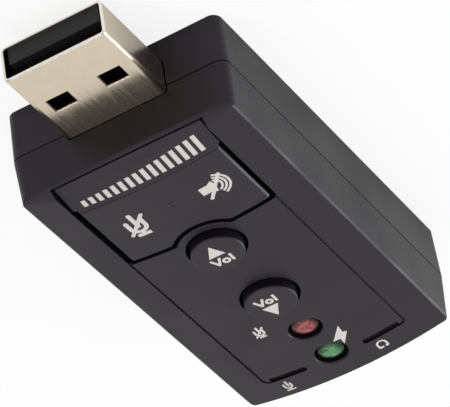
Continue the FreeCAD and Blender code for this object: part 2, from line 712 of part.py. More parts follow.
def usb_plug_insulator():
    """Moulded block inside the shell, with the tongue that carries the contacts."""
    half = TONGUE_WIDTH / 2
    low = PLUG_BOTTOM + PLUG_SHEET
    rear = X_FRONT - PLUG_BACK
    high = PLUG_BOTTOM + PLUG_HEIGHT - PLUG_SHEET
    tongue = block(rear, X_TIP - TONGUE_FROM_TIP, -half, half, low, low + TONGUE_THICKNESS)
    closing = block(rear, rear + PLUG_BLOCK_LENGTH, -half, half, low, high)
    return fuse([tongue, closing]).cut([contact_strip(*spot) for spot in CONTACTS.values()])


def jack_body(y):
    """Socket block with a round nose in the housing's end and a bore right through."""
    half = JACK_WIDTH / 2
    box = block(JACK_FACE, JACK_REAR, y - half, y + half, BOARD_TOP, BOARD_TOP + JACK_HEIGHT)
    nose_end = X_END + JACK_NOSE_RECESS
    nose = lying(JACK_NOSE_RADIUS, nose_end, JACK_FACE + JACK_NOSE_RADIUS, y, JACK_MIDDLE)
    body = fuse([box, nose])
    return body.cut(lying(JACK_BORE_RADIUS, X_END - WALL, JACK_REAR + WALL, y, JACK_MIDDLE))


def angle_section(wall, way):
    """Section of a bent terminal that stands against a wall, with its foot pointing one way."""
    top = BOARD_TOP + JACK_FOOT_RISE
    sole = BOARD_TOP + FOOT_SHEET
    sheet_end = wall + way * FOOT_SHEET
    foot_end = wall + way * JACK_FOOT_LENGTH
    return [
        (wall, BOARD_TOP),
        (foot_end, BOARD_TOP),
        (foot_end, sole),
        (sheet_end, sole),
        (sheet_end, top),
        (wall, top),
    ]


def jack_contacts(y):
    """Bent sheet terminals on the socket's inner side and rear end, each with a foot on the board."""
    inward = -1 if y > 0 else 1
    wall = y + inward * JACK_WIDTH / 2
    half = JACK_FOOT_WIDTH / 2
    quarter = JACK_LENGTH / 4
    terminals = []
    for x in (JACK_FACE + quarter, JACK_REAR - quarter):
        terminals.append(end_profile(angle_section(wall, inward), x - half, x + half))
    for across in (y - JACK_WIDTH / 4, y + JACK_WIDTH / 4):
        terminals.append(side_profile(angle_section(JACK_REAR, 1), across - half, across + half))
    return Part.makeCompound(terminals)


SWITCHES = {
    "volume_up": (VOLUME_UP, 0),
    "volume_down": (VOLUME_DOWN, 0),
    "microphone_mute": (BOSS_PLACE, BOSS_SPREAD / 2),
    "speaker_mute": (BOSS_PLACE, -BOSS_SPREAD / 2),
}


def switch_body(x, y):
    """Moulded base of a push switch, with the pocket its plunger moves in."""
    top = BOARD_TOP + SWITCH_HEIGHT
    base = pillar(SWITCH_SIZE, SWITCH_SIZE, x, y, BOARD_TOP, top)
    floor = top - SWITCH_POCKET_DEPTH
    return base.cut(pillar(SWITCH_POCKET_SIZE, SWITCH_POCKET_SIZE, x, y, floor, top + SWITCH_HEIGHT))


def switch_cover(x, y):
    """Sheet cover of a push switch, with a hole for the plunger."""
    low = BOARD_TOP + SWITCH_HEIGHT
    sheet = pillar(SWITCH_SIZE, SWITCH_SIZE, x, y, low, low + SWITCH_COVER)
    return sheet.cut(upright(PLUNGER_RADIUS + PLUNGER_CLEARANCE, x, y, BOARD_TOP, PLUNGER_TOP))


def switch_plunger(x, y):
    """Round plunger kept under the cover by its square flange."""
    flange_top = BOARD_TOP + SWITCH_HEIGHT - PLUNGER_CLEARANCE
    stem = upright(PLUNGER_RADIUS, x, y, flange_top - PLUNGER_FLANGE, PLUNGER_TOP)
    flange_low = flange_top - PLUNGER_FLANGE
    flange = pillar(PLUNGER_FLANGE_SIZE, PLUNGER_FLANGE_SIZE, x, y, flange_low, flange_top)
    return fuse([stem, flange])


def switch_terminals():
    """Four flat feet beside each push switch."""
    feet = []
    half = SWITCH_SIZE / 2
    for place, y in SWITCHES.values():
        x = behind_front(place)
        for end in (1, -1):
            x0, x1 = sorted((x + end * half, x + end * (half + SWITCH_FOOT_LENGTH)))
            for side in (1, -1):
                y0 = y + side * SWITCH_FOOT_PITCH / 2 - SWITCH_FOOT_WIDTH / 2
                feet.append(block(x0, x1, y0, y0 + SWITCH_FOOT_WIDTH, BOARD_TOP, BOARD_TOP + FOOT_SHEET))
    return Part.makeCompound(feet)


def chip_middle():
    """Middle of the audio chip: beside the volume switches, at the board's -Y edge."""
    x = behind_front((VOLUME_UP + VOLUME_DOWN) / 2)
    y = -(BOARD_HALF - CHIP_EDGE_GAP - CHIP_LEAD_REACH - CHIP_WIDTH / 2)
    return x, y


def audio_chip():
    """Moulded chip package."""
    x, y = chip_middle()
    low = BOARD_TOP + CHIP_STANDOFF
    return pillar(CHIP_LENGTH, CHIP_WIDTH, x, y, low, low + CHIP_HEIGHT)


def audio_chip_leads():
    """Rows of bent leads along the chip's long sides."""
    x, y = chip_middle()
    leads = []
    knee = BOARD_TOP + CHIP_STANDOFF + CHIP_HEIGHT / 2
    sheet = CHIP_LEAD_WIDTH
    for side in (1, -1):
        wall = y + side * CHIP_WIDTH / 2
        section = [
            (wall, knee),
            (wall + side * CHIP_LEAD_REACH / 2, knee),
            (wall + side * CHIP_LEAD_REACH / 2, BOARD_TOP + sheet),
            (wall + side * CHIP_LEAD_REACH, BOARD_TOP + sheet),
            (wall + side * CHIP_LEAD_REACH, BOARD_TOP),
            (wall + side * (CHIP_LEAD_REACH / 2 - sheet), BOARD_TOP),
            (wall + side * (CHIP_LEAD_REACH / 2 - sheet), knee - sheet),
            (wall, knee - sheet),
        ]
        for number in range(CHIP_LEADS):
            start = x + (number - (CHIP_LEADS - 1) / 2) * CHIP_LEAD_PITCH - CHIP_LEAD_WIDTH / 2
            leads.append(end_profile(section, start, start + CHIP_LEAD_WIDTH))
    return Part.makeCompound(leads)


def crystal_can():
    """Flat-sided can of the clock crystal, with rounded ends, at the board's +Y edge."""
    x = behind_front((VOLUME_UP + VOLUME_DOWN) / 2)
    y = BOARD_HALF - PART_GAP - CRYSTAL_WIDTH / 2
    can = pillar(CRYSTAL_LENGTH, CRYSTAL_WIDTH, x, y, BOARD_TOP, BOARD_TOP + CRYSTAL_HEIGHT)
    return round_edges(can, CRYSTAL_CORNER_RADIUS, lambda edge: spans(edge, "z") > CRYSTAL_HEIGHT / 2)


def supply_capacitors():
    """Two moulded chip capacitors in a row between the mute switches."""
    x = behind_front(BOSS_PLACE)
    step = (CAPACITOR_LENGTH + PART_GAP) / 2
    top = BOARD_TOP + CAPACITOR_HEIGHT
    blocks = [
        pillar(CAPACITOR_LENGTH, CAPACITOR_WIDTH, x + end * step, 0, BOARD_TOP, top) for end in (1, -1)
    ]
    return Part.makeCompound(blocks)


def chip_part_row(side):
    """Small flat parts in a row behind the mute switches, on one side of the middle."""
    switch_end = BOSS_PLACE + SWITCH_SIZE / 2 + SWITCH_FOOT_LENGTH
    x1 = behind_front(switch_end + PART_GAP)
    x0 = x1 - CHIP_PART_LENGTH
    half = CHIP_PART_WIDTH / 2
    top = BOARD_TOP + CHIP_PART_HEIGHT
    first = SWITCH_SIZE / 2 + PART_GAP + CHIP_PART_WIDTH
    places = [side * (first + number * CHIP_PART_PITCH) for number in range(CHIP_PART_COUNT)]
    return Part.makeCompound([block(x0, x1, y - half, y + half, BOARD_TOP, top) for y in places])


def circuit_board():
    """Board inside the walls, with holes for the pegs and the lamp leads."""
    inset = INNER_INSET + BOARD_EDGE_GAP
    board = plan_solid(inset, BOARD_UNDER, inset, BOARD_TOP, BOARD_CORNER_RADIUS)
    holes = [pillar(PEG_HOLE_SIZE, PEG_HOLE_SIZE, x, y, 0, BODY_HEIGHT) for x, y in peg_spots()]
    for x, y in lead_spots(RED_LAMP) + lead_spots(GREEN_LAMP):
        holes.append(pillar(LEAD_HOLE_SIZE, LEAD_HOLE_SIZE, x, y, 0, BODY_HEIGHT))
    return board.cut(holes)


def all_pieces():
    """Every piece by its node name."""
    pieces = {
        "upper_housing": upper_housing(),
        "lower_housing": lower_housing(),
        "mute_rocker": mute_rocker(),
        "volume_up_button": volume_button(VOLUME_UP),
        "volume_down_button": volume_button(VOLUME_DOWN),
        "red_led_lens": lamp_lens(RED_LAMP),
        "red_led_leads": lamp_leads(RED_LAMP),
        "green_led_lens": lamp_lens(GREEN_LAMP),
        "green_led_leads": lamp_leads(GREEN_LAMP),
        "usb_plug_shell": usb_plug_shell(),
        "usb_plug_insulator": usb_plug_insulator(),
        "headphone_jack_body": jack_body(-JACK_SPREAD / 2),
        "headphone_jack_contacts": jack_contacts(-JACK_SPREAD / 2),
        "microphone_jack_body": jack_body(JACK_SPREAD / 2),
        "microphone_jack_contacts": jack_contacts(JACK_SPREAD / 2),
        "circuit_board": circuit_board(),
        "switch_terminals": switch_terminals(),
        "audio_chip": audio_chip(),
        "audio_chip_leads": audio_chip_leads(),
        "crystal_can": crystal_can(),
        "supply_capacitors": supply_capacitors(),
        "chip_resistors": chip_part_row(-1),
        "chip_capacitors": chip_part_row(1),
    }
    for name, spot in CONTACTS.items():
        pieces[name] = contact_strip(*spot)
    for name, (place, y) in SWITCHES.items():
        x = behind_front(place)
        pieces[name + "_switch_body"] = switch_body(x, y)
        pieces[name + "_switch_cover"] = switch_cover(x, y)
        pieces[name + "_switch_plunger"] = switch_plunger(x, y)
    return pieces


os.makedirs("parts", exist_ok=True)
for node, shape in all_pieces().items():
    shape.exportStep(os.path.join("parts", node + ".step"))
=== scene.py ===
import math

import bpy
from mathutils import Matrix, Vector


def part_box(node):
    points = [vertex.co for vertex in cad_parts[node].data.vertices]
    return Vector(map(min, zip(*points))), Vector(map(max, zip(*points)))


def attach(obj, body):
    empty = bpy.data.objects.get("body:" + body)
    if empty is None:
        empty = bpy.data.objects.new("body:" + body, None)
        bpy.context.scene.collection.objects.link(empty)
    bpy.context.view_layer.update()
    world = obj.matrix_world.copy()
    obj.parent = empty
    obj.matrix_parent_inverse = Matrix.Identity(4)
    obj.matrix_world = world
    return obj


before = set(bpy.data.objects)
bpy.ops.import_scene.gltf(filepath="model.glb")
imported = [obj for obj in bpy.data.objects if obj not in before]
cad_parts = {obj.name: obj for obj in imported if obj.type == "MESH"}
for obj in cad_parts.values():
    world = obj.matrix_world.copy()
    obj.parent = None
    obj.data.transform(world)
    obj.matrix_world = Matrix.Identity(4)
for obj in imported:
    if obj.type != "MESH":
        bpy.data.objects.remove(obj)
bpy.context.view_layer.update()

bl_info = {
    "name": "USB sound card dressing",
    "version": (1, 0, 0),
    "blender": (4, 5, 0),
    "location": "3D View > Sidebar > Sound card",
    "description": "Finishes, prints, lamp inserts and a studio for the packed USB sound card",
    "category": "Object",
}

MM = 0.001
HOUSING = "housing"
# Points nearer to each other than this are one point.
WELD_DISTANCE = 1e-8
# A face is level where its normal's Z is more than this, up or down.
LEVEL_NORMAL = 0.9
SMOOTH_ANGLE = math.radians(40)
# Round corners stop just short of meeting, and so do the ends of two half rings.
ROUND_SHARE = 0.49
HALF_TURN = math.pi * 0.999
ARC_STEPS = 24
# The signs are drawn at this height and scaled from it.
SIGN_UNIT = 4.1 * MM
# How far above its carrier a print starts before it is laid down.
PRINT_LIFT = 1.0 * MM
WHITE = (1, 1, 1, 1)


def linear(code):
    """Turns an sRGB hex colour into linear red, green, blue and alpha."""
    parts = [int(code[i:i + 2], 16) / 255 for i in (1, 3, 5)]
    return [c / 12.92 if c <= 0.04045 else ((c + 0.055) / 1.055) ** 2.4 for c in parts] + [1.0]


class SoundcardSizes(bpy.types.PropertyGroup):
    """Sizes of the printed signs, of the parts cast into the lamps and of the parting line."""

    ink_thickness: bpy.props.FloatProperty(
        name="Ink thickness", description="How far the printed ink stands on the plastic",
        default=0.02 * MM, min=0.005 * MM, max=0.1 * MM, precision=6, unit="LENGTH")
    stroke_width: bpy.props.FloatProperty(
        name="Stroke width", description="Width of a line in the large printed signs",
        default=0.5 * MM, min=0.2 * MM, max=0.7 * MM, precision=6, unit="LENGTH")
    cut_spacing: bpy.props.FloatProperty(
        name="Cut spacing",
        description="Spacing of the cuts that let a print follow the arched face",
        default=0.5 * MM, min=0.2 * MM, max=2 * MM, precision=6, unit="LENGTH")
    mute_sign_height: bpy.props.FloatProperty(
        name="Mute sign height", description="Height of the two signs on the mute key",
        default=4.1 * MM, min=2 * MM, max=5 * MM, precision=5, unit="LENGTH")
    lamp_sign_height: bpy.props.FloatProperty(
        name="Lamp sign height", description="Height of the sign beside the red lamp",
        default=2.2 * MM, min=1 * MM, max=3 * MM, precision=5, unit="LENGTH")
    socket_sign_height: bpy.props.FloatProperty(
        name="Socket sign height", description="Height of the signs beside the sockets",
        default=1.9 * MM, min=1 * MM, max=3 * MM, precision=5, unit="LENGTH")
    legend_height: bpy.props.FloatProperty(
        name="Legend height", description="Height of the capital letter on the volume keys",
        default=1.42 * MM, min=0.8 * MM, max=2 * MM, precision=5, unit="LENGTH")
    legend_length: bpy.props.FloatProperty(
        name="Legend length", description="Length of the word on the volume keys",
        default=2.55 * MM, min=1.5 * MM, max=3.5 * MM, precision=5, unit="LENGTH")
    legend_stroke: bpy.props.FloatProperty(
        name="Legend stroke", description="Width of a line in the word on the volume keys",
        default=0.3 * MM, min=0.1 * MM, max=0.5 * MM, precision=6, unit="LENGTH")
    gate_ring_radius: bpy.props.FloatProperty(
        name="Gate ring radius",
        description="Radius of the ring that the mould's gate leaves on the mute key",
        default=0.38 * MM, min=0.1 * MM, max=1 * MM, precision=6, unit="LENGTH")
    arrow_width: bpy.props.FloatProperty(
        name="Arrow width", description="Width of the triangle on the volume keys",
        default=1.95 * MM, min=1 * MM, max=2.5 * MM, precision=5, unit="LENGTH")
    level_bars: bpy.props.IntProperty(
        name="Level bars", description="Number of bars in the scale on the mute key's slope",
        default=16, min=4, max=30)
    parting_height: bpy.props.FloatProperty(
        name="Parting height",
        description="Height of the open line between the two halves of the housing",
        default=6.3 * MM, min=2 * MM, max=10 * MM, precision=5, unit="LENGTH")
    parting_gap: bpy.props.FloatProperty(
        name="Parting gap",
        description="Width of the open line between the two halves of the housing",
        default=0.12 * MM, min=0.02 * MM, max=0.5 * MM, precision=6, unit="LENGTH")
    lamp_cup_radius: bpy.props.FloatProperty(
        name="Lamp cup radius", description="Radius of the mirror cup cast into each lamp",
        default=0.62 * MM, min=0.3 * MM, max=1 * MM, precision=6, unit="LENGTH")


class SoundcardColours(bpy.types.PropertyGroup):
    """Colours of the finishes."""

    housing: bpy.props.FloatVectorProperty(
        name="Housing", description="Colour of the moulded housing", subtype="COLOR", size=4,
        default=linear("#151316"), min=0.0, max=1.0)
    keys: bpy.props.FloatVectorProperty(
        name="Keys", description="Colour of the mute key and the volume keys", subtype="COLOR",
        size=4, default=linear("#171518"), min=0.0, max=1.0)
    ink: bpy.props.FloatVectorProperty(
        name="Ink", description="Colour of the printed signs", subtype="COLOR", size=4,
        default=linear("#d3d0cb"), min=0.0, max=1.0)
    nickel: bpy.props.FloatVectorProperty(
        name="Nickel", description="Colour of the plug's plated shell", subtype="COLOR", size=4,
        default=linear("#d2c6b3"), min=0.0, max=1.0)
    red_lamp: bpy.props.FloatVectorProperty(
        name="Red lamp", description="Tint of the red lamp's epoxy", subtype="COLOR", size=4,
        default=linear("#c0686a"), min=0.0, max=1.0)
    green_lamp: bpy.props.FloatVectorProperty(
        name="Green lamp", description="Tint of the green lamp's epoxy", subtype="COLOR", size=4,
        default=linear("#6fae7c"), min=0.0, max=1.0)
    board: bpy.props.FloatVectorProperty(
        name="Board", description="Colour of the circuit board's lacquer", subtype="COLOR", size=4,
        default=linear("#1d5a35"), min=0.0, max=1.0)
    backdrop: bpy.props.FloatVectorProperty(
        name="Backdrop", description="Colour of the floor", subtype="COLOR", size=4,
        default=linear("#f4f4f4"), min=0.0, max=1.0)


# Materials

def add_node(tree, kind, settings=None, inputs=None):
    """Adds a node, sets its properties, and sets or links its inputs."""
    node = tree.nodes.new(kind)
    for key, value in (settings or {}).items():
        setattr(node, key, value)
    for key, value in (inputs or {}).items():
        if isinstance(value, bpy.types.NodeSocket):
            tree.links.new(value, node.inputs[key])
        else:
            node.inputs[key].default_value = value
    return node


def start_material(name):
    """Gives a new material, its empty node tree and the Object coordinates."""
    material = bpy.data.materials.new(name)
    material.use_nodes = True
    tree = material.node_tree
    tree.nodes.clear()
    return material, tree, add_node(tree, "ShaderNodeTexCoord").outputs["Object"]


def close_material(tree, inputs):
    """Ends a material with its shader."""
    shader = add_node(tree, "ShaderNodeBsdfPrincipled", inputs=inputs)
    add_node(tree, "ShaderNodeOutputMaterial", inputs={"Surface": shader.outputs["BSDF"]})


def per_mm(millimetres):
    """Gives the texture scale whose features are this many millimetres across."""
    return 1.0 / (millimetres * MM)


def shades(colour, less, more):
    """Gives a darker and a lighter shade of a colour."""
    darker = [c * less for c in colour[:3]]
    lighter = [min(1.0, c * more) for c in colour[:3]]
    return darker + [1.0], lighter + [1.0]


def split(tree, vector, axis):
    """Gives one coordinate of a vector."""
    return add_node(tree, "ShaderNodeSeparateXYZ", inputs={"Vector": vector}).outputs[axis]


def drawn_out(tree, spot, times):
    """Gives coordinates that draw a texture out along X so many times."""
    node = add_node(tree, "ShaderNodeMapping",
                    inputs={"Vector": spot, "Scale": (1.0 / times, 1.0, 1.0)})
    return node.outputs["Vector"]


def noise(tree, spot, size, detail, distortion=0.0):
    """Gives a noise with features that are this many millimetres across."""
    node = add_node(tree, "ShaderNodeTexNoise",
                    inputs={"Vector": spot, "Scale": per_mm(size), "Detail": detail,
                            "Distortion": distortion})
    return node.outputs["Fac"]


def compute(tree, operation, *values, clamp=False):
    """Works one number out of others."""
    node = add_node(tree, "ShaderNodeMath", {"operation": operation, "use_clamp": clamp},
                    dict(enumerate(values)))
    return node.outputs[0]


def spread(tree, value, low, high, start=0.0, stop=1.0, ease="LINEAR"):
    """Maps the range of a value from start to stop onto the range from low to high."""
    node = add_node(tree, "ShaderNodeMapRange", {"interpolation_type": ease},
                    {"Value": value, "From Min": start, "From Max": stop,
                     "To Min": low, "To Max": high})
    return node.outputs["Result"]


def blend(tree, share, first, second):
    """Mixes two colours, whose sockets come after those for numbers and vectors."""
    node = add_node(tree, "ShaderNodeMix", {"data_type": "RGBA"}, {0: share, 6: first, 7: second})
    return node.outputs[2]


def relief(tree, height, strength, depth, **more):
    """Gives the normal of a face with a relief this many millimetres deep."""
    node = add_node(tree, "ShaderNodeBump",
                    inputs={"Height": height, "Strength": strength, "Distance": depth * MM, **more})
    return node.outputs["Normal"]


def moulded_abs(name, colour, face_roughness, wall_roughness, sizes):
    """ABS from a steel mould: a grained key face, polished walls that mirror what is near, and
    painted light.
    """
    material, tree, spot = start_material(name)
    # Flow of the melt leaves cloudy shades some millimetres across.
    cloud = noise(tree, spot, size=7.0, detail=3.0)
    tint = blend(tree, cloud, *shades(colour, 0.86, 1.16))
    # The tool's spark-eroded grain is about 0.05 mm, drawn at 0.16 mm so that it shows.
    grain = noise(tree, spot, size=0.16, detail=2.0)
    upward = split(tree, spot.node.outputs["Normal"], "Z")
    even = spread(tree, upward, wall_roughness, face_roughness, start=0.35, stop=0.9,
                  ease="SMOOTHSTEP")
    handled = spread(tree, cloud, -0.05, 0.05, start=0.3, stop=0.7)
    gloss = compute(tree, "ADD", even, handled)
    # A mould's edges are never sharp, so the bevel rounds their normals; the edges are also painted
    # paler than the faces, a painted highlight.
    bevel = add_node(tree, "ShaderNodeBevel", {"samples": 8}, {"Radius": 0.06 * MM})
    rounded = bevel.outputs["Normal"]
    plain = add_node(tree, "ShaderNodeNewGeometry").outputs["Normal"]
    level = add_node(tree, "ShaderNodeVectorMath", {"operation": "DOT_PRODUCT"},
                     {0: rounded, 1: plain})
    painted_edge_highlight = spread(tree, level.outputs["Value"], 0.0, 0.25, start=0.99, stop=0.8)
    tint = blend(tree, painted_edge_highlight, tint, linear("#6d696f"))
    # Painted shade: the open line between the halves and the rims just beside it are painted black,
    # as no light reaches them.
    painted_gap_shade = compute(tree, "COMPARE", split(tree, spot, "Z"), sizes.parting_height,
                     sizes.parting_gap * 0.6)
    tint = blend(tree, painted_gap_shade, tint, linear("#000000"))
    # The grain shades its own hollows, so the face mirrors less than a polished one.
    close_material(tree, {"Base Color": tint, "Roughness": compute(tree, "MAXIMUM", gloss, painted_gap_shade),
                          "IOR": 1.54, "Specular IOR Level": 0.3,
                          "Specular Tint": linear("#faf0fb"),
                          "Normal": relief(tree, grain, strength=0.08, depth=0.02, Normal=rounded)})
    return material


def moulded_nylon(name, colour):
    """Nylon filled with glass fibre, moulded: black and half matt with a faint fibre flow."""
    material, tree, spot = start_material(name)
    fibre = noise(tree, drawn_out(tree, spot, times=4.0), size=0.3, detail=3.0)
    close_material(tree, {"Base Color": blend(tree, fibre, *shades(colour, 0.8, 1.25)),
                          "Roughness": spread(tree, fibre, 0.45, 0.68),
                          "IOR": 1.53, "Specular IOR Level": 0.35,
                          "Normal": relief(tree, fibre, strength=0.1, depth=0.02)})
    return material


def plated_metal(name, colour, roughness, grain_length, grain_width, lip_highlight_from=None):
    """Rolled and plated sheet: bright, with fine lines along X, and a painted highlight, a paler
    colour, past a given X.
    """
    material, tree, spot = start_material(name)
    along = drawn_out(tree, spot, times=grain_length / grain_width)
    lines = noise(tree, along, size=grain_width, detail=4.0)
    haze = noise(tree, spot, size=3.0, detail=2.0)
    tint = blend(tree, haze, *shades(colour, 0.9, 1.06))
    if lip_highlight_from is not None:
        painted_lip_highlight = compute(tree, "GREATER_THAN", split(tree, spot, "X"), lip_highlight_from)
        tint = blend(tree, painted_lip_highlight, tint, linear("#f1ece4"))
    gloss = spread(tree, lines, roughness * 0.7, roughness * 1.4, start=0.3, stop=0.7)
    close_material(tree, {"Base Color": tint, "Metallic": 1.0, "Roughness": gloss,
                          "Normal": relief(tree, lines, strength=0.12, depth=0.01)})
    return material


def cast_epoxy(name, colour, lens):
    """Tinted epoxy cast round a lamp's lead frame: a painted highlight, pale over the cup, and
    painted shade, deep towards the rim.
    """
    material, tree, spot = start_material(name)
    low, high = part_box(lens)
    radius = (high.x - low.x) / 2
    middle = (low + high) / 2
    centred = add_node(tree, "ShaderNodeMapping",
                       inputs={"Vector": spot, "Scale": (1 / radius, 1 / radius, 0.0),
                               "Location": (-middle.x / radius, -middle.y / radius, 0.0)})
    ring = add_node(tree, "ShaderNodeTexGradient", {"gradient_type": "SPHERICAL"},
                    {"Vector": centred.outputs["Vector"]})
    painted_highlight_disc = spread(tree, ring.outputs["Fac"], 0.0, 1.0, start=0.15, stop=0.65,
                  ease="SMOOTHSTEP")
    # Painted glints: noise streaks break up the painted pale disc.
    haze = noise(tree, spot, size=0.6, detail=1.0, distortion=1.0)
    painted_glints = compute(tree, "MULTIPLY_ADD", haze, 2.0, -0.3)
    share = compute(tree, "MULTIPLY", painted_highlight_disc, painted_glints, clamp=True)
    close_material(tree, {"Base Color": blend(tree, share, *shades(colour, 0.1, 1.25)),
                          "Roughness": spread(tree, haze, 0.05, 0.16), "IOR": 1.4,
                          "Specular IOR Level": 0.12, "Transmission Weight": 0.35})
    return material


def pad_ink(name, colour):
    """Two-part white ink from a soft pad: opaque, half matt, a little thin where the pad lifted."""
    material, tree, spot = start_material(name)
    patch = noise(tree, spot, size=0.35, detail=3.0)
    close_material(tree, {"Base Color": blend(tree, patch, *shades(colour, 0.86, 1.03)),
                          "Roughness": spread(tree, patch, 0.45, 0.65), "IOR": 1.5})
    return material


def speckled_solid(name, colour, speck, roughness):
    """Moulded or fired small parts of the board: one colour with a speckle of the given size."""
    material, tree, spot = start_material(name)
    specks = noise(tree, spot, size=speck, detail=3.0)
    close_material(tree, {"Base Color": blend(tree, specks, *shades(colour, 0.78, 1.2)),
                          "Roughness": spread(tree, specks, roughness * 0.8, roughness * 1.2)})
    return material


def lacquered_laminate(name, colour):
    """Glass-cloth laminate under solder lacquer: glossy green with the weave showing through."""
    material, tree, spot = start_material(name)
    # Threads of the glass cloth lie about 0.5 mm apart; a wave has about 3.2 bands in a unit.
    threads = [add_node(tree, "ShaderNodeTexWave", {"bands_direction": way},
                        {"Vector": spot, "Scale": per_mm(0.5) / 3.2, "Distortion": 1.0})
               for way in ("X", "Y")]
    weave = compute(tree, "MULTIPLY", *(thread.outputs["Fac"] for thread in threads))
    close_material(tree, {"Base Color": blend(tree, weave, *shades(colour, 0.75, 1.2)),
                          "Roughness": 0.3, "IOR": 1.5,
                          "Normal": relief(tree, weave, strength=0.1, depth=0.02)})
    return material


def dress(nodes, material):
    """Gives the named solids a material."""
    for name in nodes:
        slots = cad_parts[name].data.materials
        slots.clear()
        slots.append(material)


# Modelling by hand

def deselect():
    """Leaves nothing selected before an operator acts."""
    bpy.ops.object.select_all(action="DESELECT")


def only(piece):
    """Makes a piece the one that operators act on."""
    deselect()
    piece.select_set(True)
    bpy.context.view_layer.objects.active = piece


def fix_place():
    """Puts the place, turn and size of the selected piece into its mesh."""
    bpy.ops.object.transform_apply(location=True, rotation=True, scale=True)
    return bpy.context.object


def open_part(piece, kind, test):
    """Goes into edit mode with the edges or faces that pass a test selected."""
    only(piece)
    bpy.ops.object.mode_set(mode="EDIT")
    bpy.ops.mesh.select_mode(type={"edges": "EDGE", "polygons": "FACE"}[kind])
    bpy.ops.mesh.select_all(action="DESELECT")
    bpy.ops.object.mode_set(mode="OBJECT")
    found = 0
    for part in getattr(piece.data, kind):
        part.select = bool(test(piece.data, part))
        found += part.select
    if not found:
        raise RuntimeError(f"{piece.name}: nothing to shape among its {kind}")
    bpy.ops.object.mode_set(mode="EDIT")


def close_part():
    """Goes back to object mode."""
    bpy.ops.object.mode_set(mode="OBJECT")


def weld():
    """Joins the points that meet, turns every face outwards and goes back to object mode."""
    bpy.ops.mesh.select_all(action="SELECT")
    bpy.ops.mesh.remove_doubles(threshold=WELD_DISTANCE)
    bpy.ops.mesh.select_all(action="SELECT")
    bpy.ops.mesh.normals_make_consistent(inside=False)
    close_part()


def draw_out(step):
    """Draws the selected faces out along Z."""
    bpy.ops.mesh.extrude_region_move(TRANSFORM_OT_translate={"value": (0, 0, step)})


def round_edges(piece, test, radius, segments):
    """Rounds the edges of a piece that pass a test."""
    open_part(piece, "edges", test)
    bpy.ops.mesh.bevel(offset=radius, segments=segments, affect="EDGES")
    close_part()


def smooth(piece):
    """Shades a piece smooth but for its creases."""
    only(piece)
    bpy.ops.object.shade_smooth_by_angle(angle=SMOOTH_ANGLE)


def every(mesh, part):
    """Takes each edge or face."""
    return True


def is_upright(mesh, edge):
    """Tells an edge that runs through the thickness of a flat piece."""
    first, second = (mesh.vertices[i].co for i in edge.vertices)
    return (first.xy - second.xy).length < WELD_DISTANCE


def faces_up(mesh, face):
    """Tells a level face that looks up."""
    return face.normal.z > LEVEL_NORMAL


def faces_down(mesh, face):
    """Tells a level face that looks down."""
    return face.normal.z < -LEVEL_NORMAL


def block(extent, place, turn=0.0):
    """A box about a place, turned about Z."""
    deselect()
    bpy.ops.mesh.primitive_cube_add(size=1, location=place, rotation=(0, 0, turn))
    bpy.context.object.scale = extent
    return fix_place()


def flat_stroke(start, end, width, thick, rounding=1.0):
    """A flat bar between two points, its corners rounded by a share of half its width."""
    start, end = Vector(start), Vector(end)
    run = end - start
    piece = block((run.length + width * rounding, width, thick), (*(start + end) / 2, 0),
                  math.atan2(run.y, run.x))
    if rounding:
        round_edges(piece, is_upright, width * rounding * ROUND_SHARE, segments=6)
    return piece


def flat_arc(centre, radius, width, thick, low, high):
    """A flat arc between two angles, spun from its upright end face."""
    deselect()
    spot = (centre[0] + radius * math.cos(low), centre[1] + radius * math.sin(low), 0)
    bpy.ops.mesh.primitive_plane_add(size=1, location=spot, rotation=(math.pi / 2, 0, low))
    bpy.context.object.scale = (width, thick, 1.0)
    piece = fix_place()
    open_part(piece, "polygons", every)
    bpy.ops.mesh.spin(steps=ARC_STEPS, angle=low - high, center=(*centre, 0), axis=(0, 0, 1))
    weld()
    return piece


def flat_outline(points, thick):
    """A flat piece with straight edges between its corners."""
    curve = bpy.data.curves.new("outline", "CURVE")
    curve.dimensions = "2D"
    curve.fill_mode = "BOTH"
    curve.extrude = thick / 2
    spline = curve.splines.new("POLY")
    spline.points.add(len(points) - 1)
    for point, corner in zip(spline.points, points):
        point.co = (*corner, 0, 1)
    spline.use_cyclic_u = True
    piece = bpy.data.objects.new("outline", curve)
    bpy.context.collection.objects.link(piece)
    only(piece)
    bpy.ops.object.convert(target="MESH")
    piece = bpy.context.object
    open_part(piece, "polygons", every)
    weld()
    return piece


def combine(piece, other):
    """Joins another piece to this one and leaves one clean mesh."""
    modifier = piece.modifiers.new("combine", "BOOLEAN")
    modifier.operation = "UNION"
    modifier.solver = "EXACT"
    modifier.object = other
    only(piece)
    bpy.ops.object.modifier_apply(modifier="combine")
    bpy.data.objects.remove(other)
    if not piece.data.polygons:
        raise RuntimeError(f"{piece.name}: nothing is left after joining")
    return piece


def copy_of(piece):
    """A copy of a piece with its own mesh."""
    twin = piece.copy()
    twin.data = piece.data.copy()
    bpy.context.collection.objects.link(twin)
    return twin


def settle(piece, name, body, material):
    """Names a piece, gives it its material and fixes it to its body."""
    piece.name = name
    piece.data.name = name
    piece.data.materials.clear()
    piece.data.materials.append(material)
    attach(piece, body)


